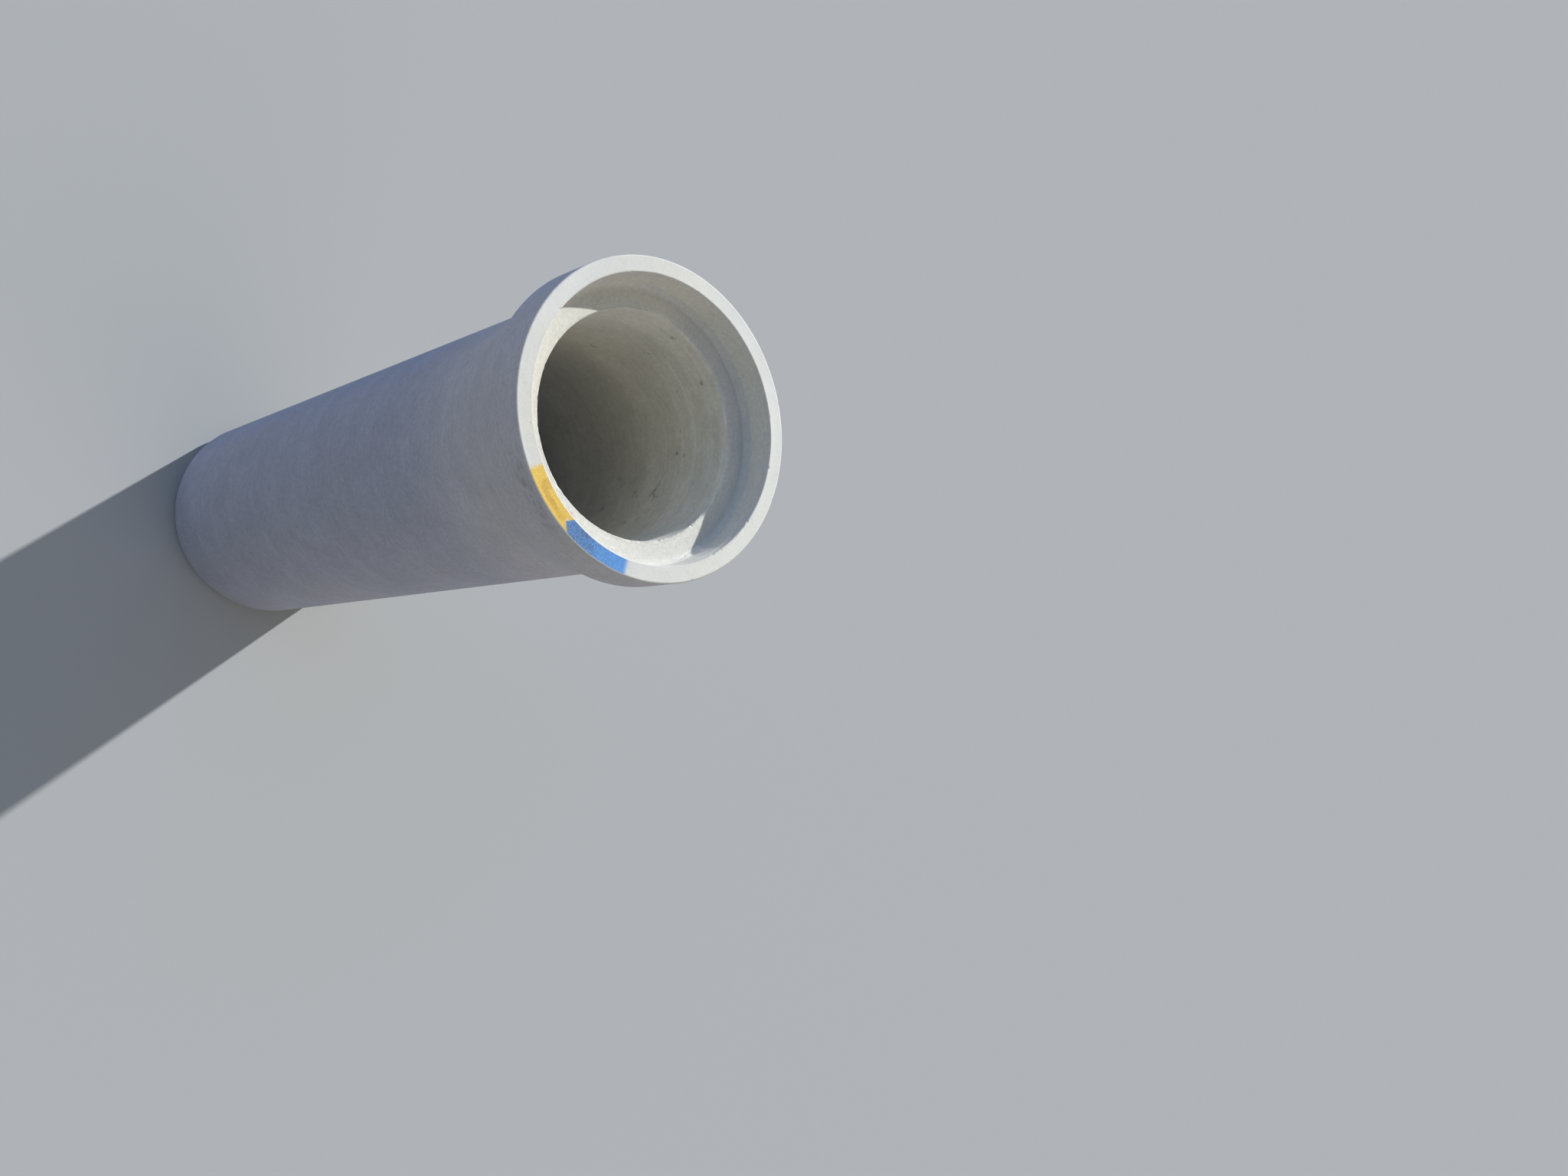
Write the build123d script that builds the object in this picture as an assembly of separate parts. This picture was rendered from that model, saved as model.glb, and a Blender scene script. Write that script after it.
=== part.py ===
"""Socketed concrete culvert pipe, nominal bore 600 mm, laying length 2440 mm.

One cast piece, turned about its own axis: a stepped spigot, a long plain
barrel, and a flared bell with the socket.  A pipe that lies free on a level
floor rolls, so it stands on its spigot end with the socket up.  +Z is the
pipe's axis, from the spigot to the socket; the origin is the centre of the
spigot's end face, on the floor (Z = 0).  Millimetres.
"""
from build123d import *
import math
import os

# ---- driving dimensions -------------------------------------------------
NODE = "concrete_pipe"

BORE_R = 300.0            # waterway, nominal 600 mm
WALL = 64.0               # barrel wall
BARREL_R = BORE_R + WALL  # 364

LAYING_LENGTH = 2440.0    # what one pipe adds to a line
SOCKET_DEPTH = 93.0       # mouth to shoulder
LENGTH = LAYING_LENGTH + SOCKET_DEPTH

BELL_R = 416.0            # outside of the bell
BELL_EDGE_R = 5.0         # rounding of the bell's outer arris at the mouth
FLARE_END = 437.0         # distance below the mouth where the flare has run out
FLARE_R = 911.0           # hollow curve of the flare
BELL_BACK_R = 40.0        # rounding where the bell's band turns into the flare

MOUTH_R = 372.5           # inner edge of the ring-shaped end face
MOUTH_EDGE_R = 3.0        # rounding of the mouth's arris
SEAT_R = 368.0            # parallel joint surface inside the socket
SEAT_START = 20.0         # end of the lead-in bevel
SOCKET_ROOT_R = 19.0      # hollow corner between the seat and the shoulder
BORE_EDGE_R = 3.0         # rounding of the bore's arris in the socket

NOSE_LENGTH = 42.0        # spigot nose, from its shoulder to the end face
NOSE_R = 353.5            # parallel joint surface of the nose
NOSE_EDGE_R = 5.0         # rounding of the nose's outer arris
NOSE_ROOT_R = 3.0         # hollow corner at the foot of the shoulder
SHOULDER_EDGE_R = 4.0     # rounding of the shoulder's arris
SPIGOT_BORE_EDGE_R = 3.0  # rounding of the bore's arris at the spigot


# ---- profile -------------------------------------------------------------
# Points are (radius, distance below the mouth); the sketch's second
# coordinate is the height above the floor.
def at(radius, below):
    return (radius, LENGTH - below)


def line(p, q):
    return Line(at(*p), at(*q))


def arc(centre, rho, a0, a1):
    """Arc about (radius, below) from a0 to a1 degrees; 0 points outwards and
    90 points down, away from the mouth."""
    def pt(a):
        a = math.radians(a)
        return at(centre[0] + rho * math.cos(a), centre[1] + rho * math.sin(a))
    return ThreePointArc(pt(a0), pt((a0 + a1) / 2), pt(a1))


# bell's band, rounded into the hollow flare that meets the barrel tangentially
flare_c = (BARREL_R + FLARE_R, FLARE_END)
back_x = BELL_R - BELL_BACK_R
back_c = (back_x, FLARE_END - math.sqrt((FLARE_R + BELL_BACK_R) ** 2 - (flare_c[0] - back_x) ** 2))
turn = math.degrees(math.atan2(flare_c[1] - back_c[1], flare_c[0] - back_c[0]))
back_end = (back_c[0] + BELL_BACK_R * math.cos(math.radians(turn)),
            back_c[1] + BELL_BACK_R * math.sin(math.radians(turn)))

shoulder = LENGTH - NOSE_LENGTH

# lead-in bevel: straight from the mouth's rounding to the seat
bevel = math.degrees(math.atan2(SEAT_START, MOUTH_R - SEAT_R))
mouth_c = (MOUTH_R + MOUTH_EDGE_R * math.tan(math.radians(bevel / 2)), MOUTH_EDGE_R)
mouth_a = 270 - bevel
mouth_end = (mouth_c[0] + MOUTH_EDGE_R * math.cos(math.radians(mouth_a)),
             mouth_c[1] + MOUTH_EDGE_R * math.sin(math.radians(mouth_a)))

with BuildPart() as pipe:
    with BuildSketch(Plane.XZ):
        with BuildLine():
            # socket's end face, out to the bell
            line((mouth_c[0], 0), (BELL_R - BELL_EDGE_R, 0))
            arc((BELL_R - BELL_EDGE_R, BELL_EDGE_R), BELL_EDGE_R, -90, 0)
            line((BELL_R, BELL_EDGE_R), (BELL_R, back_c[1]))
            arc(back_c, BELL_BACK_R, 0, turn)
            arc(flare_c, FLARE_R, 180 + turn, 180)
            # barrel to the spigot's shoulder
            line((BARREL_R, FLARE_END), (BARREL_R, shoulder - SHOULDER_EDGE_R))
            arc((BARREL_R - SHOULDER_EDGE_R, shoulder - SHOULDER_EDGE_R), SHOULDER_EDGE_R, 0, 90)
            line((BARREL_R - SHOULDER_EDGE_R, shoulder), (NOSE_R + NOSE_ROOT_R, shoulder))
            arc((NOSE_R + NOSE_ROOT_R, shoulder + NOSE_ROOT_R), NOSE_ROOT_R, 270, 180)
            line((NOSE_R, shoulder + NOSE_ROOT_R), (NOSE_R, LENGTH - NOSE_EDGE_R))
            arc((NOSE_R - NOSE_EDGE_R, LENGTH - NOSE_EDGE_R), NOSE_EDGE_R, 0, 90)
            # spigot's end face, in to the bore
            line((NOSE_R - NOSE_EDGE_R, LENGTH), (BORE_R + SPIGOT_BORE_EDGE_R, LENGTH))
            arc((BORE_R + SPIGOT_BORE_EDGE_R, LENGTH - SPIGOT_BORE_EDGE_R), SPIGOT_BORE_EDGE_R, 90, 180)
            # waterway up to the socket's shoulder
            line((BORE_R, LENGTH - SPIGOT_BORE_EDGE_R), (BORE_R, SOCKET_DEPTH + BORE_EDGE_R))
            arc((BORE_R + BORE_EDGE_R, SOCKET_DEPTH + BORE_EDGE_R), BORE_EDGE_R, 180, 270)
            line((BORE_R + BORE_EDGE_R, SOCKET_DEPTH), (SEAT_R - SOCKET_ROOT_R, SOCKET_DEPTH))
            arc((SEAT_R - SOCKET_ROOT_R, SOCKET_DEPTH - SOCKET_ROOT_R), SOCKET_ROOT_R, 90, 0)
            # parallel seat, lead-in bevel and rounded mouth
            line((SEAT_R, SOCKET_DEPTH - SOCKET_ROOT_R), (SEAT_R, SEAT_START))
            line((SEAT_R, SEAT_START), mouth_end)
            arc(mouth_c, MOUTH_EDGE_R, mouth_a, 270)
        make_face()
    revolve(axis=Axis.Z)

body = pipe.part.solids()[0]
body.label = NODE

if __name__ == "__main__":
    os.makedirs("parts", exist_ok=True)
    export_step(body, f"parts/{NODE}.step")
    bb = body.bounding_box()
    print("bell band ends", round(back_c[1], 3), "below the mouth; flare starts",
          [round(v, 3) for v in back_end])
    print("volume m3", round(body.volume / 1e9, 6), "centre of mass z", round(body.center(CenterOf.MASS).Z, 2))
    print("bbox", bb.min, bb.max)
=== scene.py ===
"""Looks of the socketed concrete pipe: one cast piece, standing on its spigot end.

Lengths in this script are millimetres where a name ends in _MM or where the
profile is given as (radius, distance below the mouth), and metres elsewhere.
The clock angle is measured about the pipe's axis from the direction CLOCK0.
"""
import math

import bpy  # noqa: E402
import numpy as np  # noqa: E402
from mathutils import Matrix, Vector  # noqa: E402


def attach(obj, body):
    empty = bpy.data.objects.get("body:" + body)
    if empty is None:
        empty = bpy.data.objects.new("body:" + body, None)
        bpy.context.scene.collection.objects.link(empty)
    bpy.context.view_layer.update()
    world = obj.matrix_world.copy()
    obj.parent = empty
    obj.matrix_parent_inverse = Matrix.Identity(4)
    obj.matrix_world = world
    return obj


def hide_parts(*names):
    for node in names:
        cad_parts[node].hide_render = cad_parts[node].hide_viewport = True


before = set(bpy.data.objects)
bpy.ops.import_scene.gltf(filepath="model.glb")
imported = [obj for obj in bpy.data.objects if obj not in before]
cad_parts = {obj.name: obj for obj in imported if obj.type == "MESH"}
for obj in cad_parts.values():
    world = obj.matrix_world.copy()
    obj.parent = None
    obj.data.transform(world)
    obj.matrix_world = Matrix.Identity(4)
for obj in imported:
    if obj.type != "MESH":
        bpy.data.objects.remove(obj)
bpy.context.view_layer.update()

LENGTH = 2533.0
CLOCK0 = math.radians(117.7)          # azimuth of clock angle 0 in the row frame
F2 = np.array([math.cos(CLOCK0), math.sin(CLOCK0), 0.0])     # clock 0
F3 = np.array([math.sin(CLOCK0), -math.cos(CLOCK0), 0.0])    # clock +90


# --------------------------------------------------------------------------
# smooth repeatable noise on a lattice that closes round the clock angle
# --------------------------------------------------------------------------
def _hash(ix, iy, seed):
    h = (ix.astype(np.int64) * 374761393 + iy.astype(np.int64) * 668265263 + seed * 974634777) & 0xFFFFFFFF
    h = ((h ^ (h >> 13)) * 1274126177) & 0xFFFFFFFF
    h = ((h ^ (h >> 16)) * 2246822519) & 0xFFFFFFFF
    return ((h ^ (h >> 15)) & 0xFFFFFF) / float(0xFFFFFF) * 2 - 1


def noise2(t, v, cells, pitch, seed):
    """-1..1, t in degrees with `cells` lattice cells round the circle, v with cells of `pitch`."""
    x = (np.asarray(t, float) % 360.0) / 360.0 * cells
    y = np.asarray(v, float) / pitch + 1000.0
    x, y = np.broadcast_arrays(x, y)
    ix, iy = np.floor(x), np.floor(y)
    fx, fy = x - ix, y - iy
    fx = fx * fx * fx * (fx * (fx * 6 - 15) + 10)
    fy = fy * fy * fy * (fy * (fy * 6 - 15) + 10)
    x0, x1 = ix % cells, (ix + 1) % cells
    a = _hash(x0, iy, seed) * (1 - fx) + _hash(x1, iy, seed) * fx
    b = _hash(x0, iy + 1, seed) * (1 - fx) + _hash(x1, iy + 1, seed) * fx
    return a * (1 - fy) + b * fy


def fractal(t, v, cells, pitch, seed, octaves=3, gain=0.5):
    total, amp, norm = 0.0, 1.0, 0.0
    for k in range(octaves):
        total = total + amp * noise2(t, v, cells * 2 ** k, pitch / 2 ** k, seed + 17 * k)
        norm += amp
        amp *= gain
    return total / norm


def bump(t, at, width):
    """1 at the clock angle `at`, falling to 0 at `width` degrees to each side."""
    d = np.abs((np.asarray(t, float) - at + 180.0) % 360.0 - 180.0) / width
    return np.where(d < 1, (1 - d * d) ** 2, 0.0)


def step(x, lo, hi):
    u = np.clip((np.asarray(x, float) - lo) / (hi - lo), 0, 1)
    return u * u * (3 - 2 * u)


def span(t, a, b, soft):
    """1 between clock angles a < b, fading over `soft` degrees outside."""
    mid, half = (a + b) / 2, (b - a) / 2
    d = np.abs((np.asarray(t, float) - mid + 180.0) % 360.0 - 180.0)
    return 1 - step(d, half, half + soft)


# --------------------------------------------------------------------------
# profile: (radius, below the mouth), the same curve as the CAD solid's
# --------------------------------------------------------------------------
def arc(centre, rho, a0, a1, k):
    """k points about centre, from a0 to a1 degrees, both ends included; 0 outwards, 90 down."""
    return [(centre[0] + rho * math.cos(math.radians(a)), centre[1] + rho * math.sin(math.radians(a)))
            for a in np.linspace(a0, a1, k)]


def run(p, q, stops):
    """Points on the straight run p to q at the given distances from p; negative ones count from q."""
    length = math.hypot(q[0] - p[0], q[1] - p[1])
    out = []
    for d in stops:
        u = (d if d >= 0 else length + d) / length
        out.append((p[0] + (q[0] - p[0]) * u, p[1] + (q[1] - p[1]) * u))
    return out


BEVEL = math.degrees(math.atan2(20.0, 4.5))
MOUTH_C = (372.5 + 3.0 * math.tan(math.radians(BEVEL / 2)), 3.0)
MOUTH_END = (MOUTH_C[0] + 3.0 * math.cos(math.radians(270 - BEVEL)), 3.0 + 3.0 * math.sin(math.radians(270 - BEVEL)))
BACK_C = (376.0, 437.0 - math.sqrt(951.0 ** 2 - 899.0 ** 2))
TURN = math.degrees(math.atan2(437.0 - BACK_C[1], 899.0))
FINE, MID, LOW = 1080, 540, 270

rows = []       # (radius, below, columns, region)


def add(points, columns, region):
    rows.extend((r, s, columns, region) for r, s in points)


# end face, outwards
add(run((MOUTH_C[0], 0), (411, 0), [0.0, 1.2, 4.0, 12.0, 21.0, -4.0, -1.2]), FINE, "face")
add(arc((411, 5), 5, -90, 0, 6), FINE, "rim")
add(run((416, 5), (416, BACK_C[1]), [1.5, 5, 12]), FINE, "band")
add(run((416, 5), (416, BACK_C[1]), [30, 70, -2]), MID, "band")
add(arc(BACK_C, 40, 0, TURN, 5), MID, "band")
add(arc((1275, 437), 911, 180 + TURN, 180, 13)[1:], LOW, "flare")
add(run((364, 437), (364, 2487), [40] + list(np.arange(110, 2000, 94.0)) + [-30, -10, -2]), LOW, "barrel")
add(arc((360, 2487), 4, 0, 90, 4), MID, "barrel_end")
add(arc((356.5, 2494), 3, 270, 180, 4), MID, "nose")
add(run((353.5, 2494), (353.5, 2528), [3, 12, 22, -2]), MID, "nose")
add(arc((348.5, 2528), 5, 0, 90, 5), MID, "nose_edge")
add(run((348.5, 2533), (303, 2533), [3, 23, -3]), MID, "end")
add(arc((303, 2530), 3, 90, 180, 4), MID, "end_edge")
add(run((300, 2530), (300, 150), [3, 20] + list(np.arange(110, 2330, 110.0)) + [2370]), LOW, "bore")
add([(300, 142)], MID, "bore")
add([(300, 130), (300, 119), (300, 112), (300, 108), (300, 105), (300, 102.5), (300, 100.3), (300, 98.2)], FINE, "bore")
add(arc((303, 96), 3, 180, 270, 6), FINE, "bore_edge")
add(run((303, 93), (349, 93), [1.6, 3.6, 6.0, 9.0, 13.0, 20.0, 30.0, -2.0]), FINE, "shoulder")
add(arc((349, 74), 19, 90, 0, 7), FINE, "root")
add(run((368, 74), (368, 20), [3, 18, 36, -1.5]), FINE, "seat")
add(run((368, 20), MOUTH_END, [0.0, 2.0, 10.0, -1.2]), FINE, "bevel")
add(arc(MOUTH_C, 3, 270 - BEVEL, 270, 6)[:-1], FINE, "mouth")

# --------------------------------------------------------------------------
# relief: losses at the edges and slight unevenness, always into the concrete
# --------------------------------------------------------------------------
def cut(r, s, corner, dirn, depth):
    """Moves what lies outside a slanting cut onto it. dirn points into the concrete."""
    q = (r - corner[0]) * dirn[0] + (s - corner[1]) * dirn[1]
    push = np.maximum(depth - q, 0.0)
    return r + push * dirn[0], s + push * dirn[1]


def relief(t, r0, s0, region):
    r, s = np.full_like(t, r0), np.full_like(t, s0)
    # slow unevenness of each cast surface
    if region in ("band", "flare", "barrel"):
        w = 0.22 + 0.22 * fractal(t, s0, 9, 260.0, 3, 3)
        w *= step(s0, 5, 30) * (1 - step(s0, 2470, 2487))
        r = r - w
    if region == "bore":
        w = 0.25 + 0.25 * fractal(t, s0, 11, 220.0, 5, 3)
        r = r + w * step(s0, 96, 118) * (1 - step(s0, 2510, 2530))
    if region in ("seat", "root", "bevel"):
        w = 0.18 + 0.18 * fractal(t, s0, 23, 60.0, 7, 3)
        r = r + w * (1 - step(s0, 80, 93)) * step(s0, 0, 4)
    if region == "shoulder":
        w = 0.35 + 0.35 * fractal(t, r0, 36, 24.0, 9, 3)
        s = s + w * step(r0, 303, 309) * (1 - step(r0, 343, 349))
    if region == "face":
        w = 0.12 + 0.12 * fractal(t, r0, 60, 18.0, 11, 3)
        s = s + w * step(r0, 375, 379) * (1 - step(r0, 407, 411))
    # bore's arris in the socket: ragged and chipped
    if region in ("bore", "bore_edge", "shoulder") and s0 < 140:
        ragged = np.maximum(span(t, -106, -54, 14), 0.45 * span(t, 62, 84, 14))
        c = 1.6 + 1.2 * fractal(t, 0, 44, 1.0, 21, 2) + (0.9 + 1.2 * ragged) * fractal(t, 0, 190, 1.0, 22, 3, 0.7)
        for at, width, deep in CHIPS:
            c = c + deep * bump(t, at, width) * (0.8 + 0.35 * noise2(t, 0, 540, 1.0, 23))
        worn = span(t, 122, 236, 22)                      # rubbed round rather than broken
        c = c + 2.2 * worn
        rough = (0.30 + 0.35 * ragged) * (1 - 0.6 * worn) * noise2(t, (r0 + s0) * 1.0, 540, 2.4, 24)
        lean = np.radians(46 + 26 * fractal(t, 0, 40, 1.0, 25, 2))
        c = np.maximum(c + rough, 0.0)
        r, s = cut(r, s, (300.0, 93.0), (np.cos(lean), np.sin(lean)), c)
    # mouth's arris: small nicks and a few flakes
    if region in ("face", "mouth", "bevel") and r0 < 385:
        c = 0.9 + 0.5 * fractal(t, 0, 60, 1.0, 31, 2) + 0.35 * fractal(t, 0, 270, 1.0, 32, 2)
        for at, width, deep in NICKS:
            c = c + deep * bump(t, at, width)
        c = np.maximum(c + 0.2 * noise2(t, r0 + s0, 540, 2.0, 33), 0)
        lean = np.radians(50 + 15 * fractal(t, 0, 24, 1.0, 34, 2))
        r, s = cut(r, s, (372.5, 0.0), (np.cos(lean), np.sin(lean)), c)
    # bell's outer arris
    if region in ("face", "rim", "band") and s0 < 20 and r0 > 400:
        c = 1.6 + 0.6 * fractal(t, 0, 40, 1.0, 41, 2) + 0.5 * fractal(t, 0, 200, 1.0, 42, 2)
        for at, width, deep in DINGS:
            c = c + deep * bump(t, at, width)
        c = np.maximum(c, 0)
        lean = np.radians(45 + 15 * fractal(t, 0, 24, 1.0, 44, 2))
        r, s = cut(r, s, (416.0, 0.0), (-np.cos(lean), np.sin(lean)), c)
    # spigot's arrises
    if region in ("nose", "nose_edge", "end") and r0 > 335:
        c = 1.6 + 0.8 * fractal(t, 0, 40, 1.0, 51, 2) + 0.6 * fractal(t, 0, 150, 1.0, 52, 2)
        c = c + 3.0 * step(fractal(t, 0, 30, 1.0, 53, 1), 0.55, 0.9)
        r, s = cut(r, s, (353.5, 2533.0), (-0.7071, -0.7071), np.maximum(c, 0))
    if region in ("end", "end_edge", "bore") and s0 > 2500 and r0 < 312:
        c = 1.2 + 0.8 * fractal(t, 0, 40, 1.0, 55, 2) + 0.6 * fractal(t, 0, 150, 1.0, 56, 2)
        r, s = cut(r, s, (300.0, 2533.0), (0.7071, -0.7071), np.maximum(c, 0))
    if region in ("barrel", "barrel_end", "nose") and s0 > 2470 and r0 > 355:
        c = 1.3 + 0.6 * fractal(t, 0, 40, 1.0, 57, 2) + 0.6 * fractal(t, 0, 150, 1.0, 58, 2)
        r, s = cut(r, s, (364.0, 2491.0), (-0.7071, -0.7071), np.maximum(c, 0))
    return r, s


# (clock angle, half width in degrees, depth in mm)
CHIPS = [(-18.5, 2.8, 1.7), (-23.5, 2.0, 0.8), (24.0, 2.4, 1.1), (12.0, 1.6, 0.6), (-35.0, 2.6, 0.9), (-8.0, 1.4, 0.7),
         (-31.0, 1.2, 0.6), (-58.0, 2.0, 1.2), (-66.5, 1.3, 2.2), (-72.5, 1.6, 2.4), (-83.0, 2.4, 2.0), (-98.0, 2.4, 2.4),
         (-106.0, 1.8, 1.4), (41.0, 1.5, 1.3), (55.0, 1.8, 1.0), (150.0, 1.6, 1.2), (-150.0, 1.8, 1.0)]
NICKS = [(10.4, 1.0, 1.8), (-17.8, 0.7, 1.6), (-148.4, 1.0, 2.6), (-98.5, 1.6, 1.2), (-103.0, 1.0, 1.6), (-122.0, 1.3, 1.8),
         (-118.5, 0.8, 1.4), (56.0, 0.7, 1.4), (95.0, 0.8, 1.0), (128.5, 1.0, 1.2), (-170.0, 0.9, 1.0)]
DINGS = [(156.0, 0.8, 1.6), (-85.5, 0.7, 1.5), (-137.0, 1.2, 1.4), (60.0, 0.6, 1.0), (185.0, 1.0, 1.6), (102.0, 0.8, 1.0)]


# --------------------------------------------------------------------------
# mesh
# --------------------------------------------------------------------------
# the charts of the surface map: name, first and last row's place along the profile,
# and the chart's box on the map; a "strip" chart is cut into two half turns, one above the other
def charts():
    """Which part of the map each pair of rows lies on, and how far along it, 0..1."""
    along = [0.0]
    closed = rows + rows[:1]
    for (r0, s0, *_), (r1, s1, *_) in zip(closed[:-1], closed[1:]):
        along.append(along[-1] + math.hypot(r1 - r0, s1 - s0))
    regions = [row[3] for row in rows]
    first_outer = next(k for k, row in enumerate(rows) if row[2] != FINE)            # last fine row is one before
    first_end = regions.index("barrel_end")
    first_bore = max(k for k, row in enumerate(rows) if row[3] == "end_edge")
    first_fine = next(k for k in range(first_bore, len(rows)) if rows[k][2] == FINE)
    # (first pair, last pair, kind)
    return along, [(first_fine, len(rows) + first_outer - 1, "strip"), (first_outer, first_end - 1, "outer"),
                   (first_end, first_bore - 1, "end"), (first_bore, first_fine - 1, "bore")]


BOXES = {                      # left, low, right, high on the 0..1 map
    "strip": ((0.006, 0.853, 0.994, 0.994), (0.006, 0.704, 0.994, 0.845)),
    "outer": ((0.006, 0.006, 0.548, 0.650),),
    "bore": ((0.556, 0.006, 0.994, 0.650),),
    "end": ((0.006, 0.658, 0.994, 0.696),),
}


def build():
    verts, faces, places, starts = [], [], [], []
    total = 0
    for r0, s0, cols, region in rows:
        t = np.arange(cols) * 360.0 / cols
        r, s = relief(t, r0, s0, region)
        a = np.radians(t)
        p = (r * np.cos(a))[:, None] * F2 + (r * np.sin(a))[:, None] * F3
        p[:, 2] = LENGTH - s
        verts.append(p / 1000.0)
        starts.append((total, cols))
        total += cols
    along, parts = charts()
    n = len(rows)
    part_of = {}
    for first, last, kind in parts:
        low = along[first] if first < n else along[first - n] + along[n]
        end = last + 1
        high = along[end] if end <= n else along[end - n] + along[n]
        for k in range(first, last + 1):
            part_of[k % n] = (kind, k, low, high)

    def place(kind, half, frac, v):
        """A point of a chart on the map."""
        x0, y0, x1, y1 = BOXES[kind][half]
        if len(BOXES[kind]) == 2:
            frac = frac * 2 - half
        return (x0 + (x1 - x0) * frac, y0 + (y1 - y0) * v)

    for k in range(n):
        a, na = starts[k]
        b, nb = starts[(k + 1) % n]
        kind, kk, low, high = part_of[k]
        va = ((along[kk] if kk < n else along[kk - n] + along[n]) - low) / (high - low)
        vb = ((along[kk + 1] if kk + 1 <= n else along[kk + 1 - n] + along[n]) - low) / (high - low)

        def put(corners):
            """corners: (on the second row?, column), columns unwrapped."""
            faces.append(tuple((b + c % nb) if second else (a + c % na) for second, c in corners))
            mean = sum(c / (nb if second else na) for second, c in corners) / len(corners)
            half = 1 if len(BOXES[kind]) == 2 and mean > 0.5 else 0
            places.extend(place(kind, half, c / (nb if second else na), vb if second else va) for second, c in corners)

        if na == nb:
            for i in range(na):
                put(((0, i), (0, i + 1), (1, i + 1), (1, i)))
        elif na == 2 * nb:
            for i in range(nb):
                put(((0, 2 * i), (0, 2 * i + 1), (1, i)))
                put(((0, 2 * i + 1), (1, i + 1), (1, i)))
                put(((0, 2 * i + 1), (0, 2 * i + 2), (1, i + 1)))
        elif nb == 2 * na:
            for i in range(na):
                put(((0, i), (1, 2 * i + 1), (1, 2 * i)))
                put(((0, i), (0, i + 1), (1, 2 * i + 1)))
                put(((0, i + 1), (1, 2 * i + 2), (1, 2 * i + 1)))
        else:
            raise ValueError("rows %d and %d don't meet" % (na, nb))
    return np.concatenate(verts), faces, places


verts, faces, places = build()
mesh = bpy.data.meshes.new("concrete_pipe_cast")
mesh.from_pydata(verts.tolist(), [], faces)
layer = mesh.uv_layers.new(name="OFBake")
layer.data.foreach_set("uv", np.array(places, dtype=np.float32).ravel())
mesh.update()
pipe = bpy.data.objects.new("concrete_pipe_cast", mesh)
bpy.context.scene.collection.objects.link(pipe)
mesh.shade_smooth()



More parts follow.
